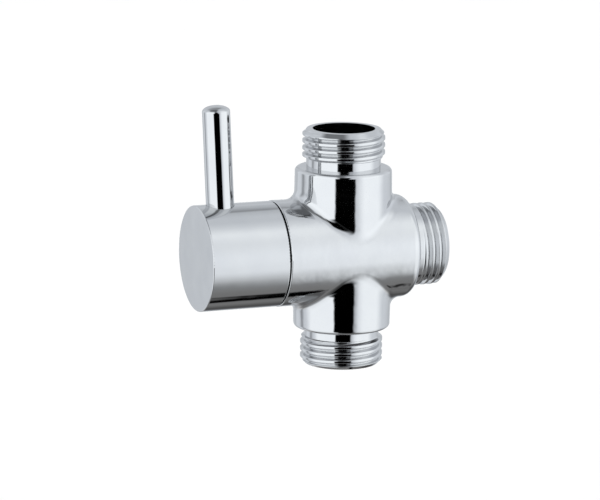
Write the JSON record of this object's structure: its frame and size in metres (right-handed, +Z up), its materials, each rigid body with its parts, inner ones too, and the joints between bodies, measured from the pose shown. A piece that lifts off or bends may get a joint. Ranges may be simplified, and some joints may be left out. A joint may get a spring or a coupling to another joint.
{
  "type": "shower diverter valve",
  "caption": "Chromed shower diverter: cross-shaped body with threaded half-inch spigots, and a round knob whose pin lever turns a ceramic disc cartridge inside.",
  "frame": {"origin": "centre of the inlet's end face, where the supply's washer seals", "axes": "+X out of the inlet along the handle's axis, +Z up along the outlets' axis, the knob towards -X"},
  "size_m": [0.065, 0.027, 0.0679],
  "materials": {
    "chromed_brass": "polished chrome plate on cast brass",
    "chromed_zinc": "polished chrome plate on die-cast zinc",
    "chromed_brass_lever": "polished chrome plate on turned brass",
    "steel": "plain hardened steel",
    "brass": "turned, unplated",
    "nylon_black": "moulded",
    "nylon_white": "stamped",
    "rubber": "moulded nitrile",
    "acetal": "moulded",
    "alumina": "sintered, lapped faces"
  },
  "bodies": {
    "body": {"valve_body": "chromed_brass", "gland_nut": "brass", "guide_ring": "nylon_black", "slip_washer": "nylon_white", "cartridge_shell": "brass", "body_o_ring": "rubber", "cartridge_base": "acetal", "base_seal": "rubber", "disc_seal": "rubber", "fixed_disc": "alumina", "thrust_washer": "acetal"},
    "handle": {"handle_knob": "chromed_zinc", "lever_pin": "chromed_brass_lever", "grub_screw": "steel", "spindle": "brass", "spindle_clip": "steel", "spindle_o_ring_inner": "rubber", "spindle_o_ring_outer": "rubber", "disc_carrier": "acetal", "moving_disc": "alumina"}
  },
  "joints": [
    {"name": "handle_turn", "type": "hinge", "parent": "body", "child": "handle", "pos_m": [-0.0257, 0, 0], "axis": [1, 0, 0], "range_deg": [0, 180]}
  ]
}
